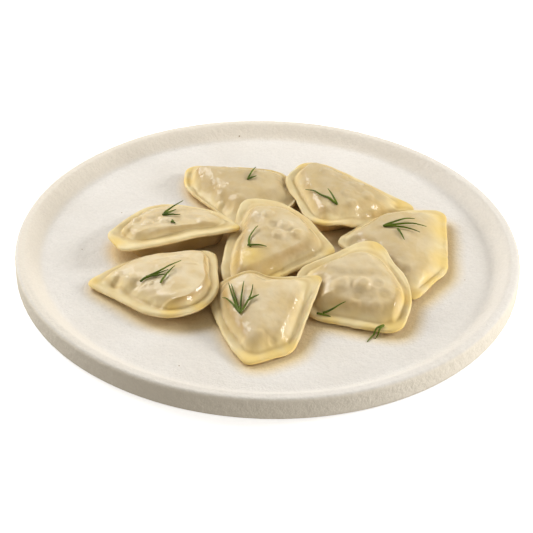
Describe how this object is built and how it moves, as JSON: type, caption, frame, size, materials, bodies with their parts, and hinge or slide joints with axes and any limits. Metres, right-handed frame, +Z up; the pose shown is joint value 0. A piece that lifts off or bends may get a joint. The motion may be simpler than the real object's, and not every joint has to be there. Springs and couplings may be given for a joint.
{
  "type": "plate of pierogi dumplings",
  "caption": "Boiled pierogi with pinched dough edges, lying partly over one another on a round matte stoneware plate with a low rim, scattered with dill.",
  "frame": {"origin": "middle of the plate's flat underside", "axes": "+Z up, out of the food; +X to the eater's right; +Y away from the eater"},
  "size_m": [0.24, 0.24, 0.0242],
  "materials": {
    "stoneware": "matte",
    "dough": "satin",
    "dill": "matte"
  },
  "bodies": {
    "root": {"plate": "stoneware", "pierogi_1": "dough", "pierogi_2": "dough", "pierogi_3": "dough", "pierogi_4": "dough", "pierogi_5": "dough", "pierogi_6": "dough", "pierogi_7": "dough", "pierogi_8": "dough"}
  },
  "joints": []
}
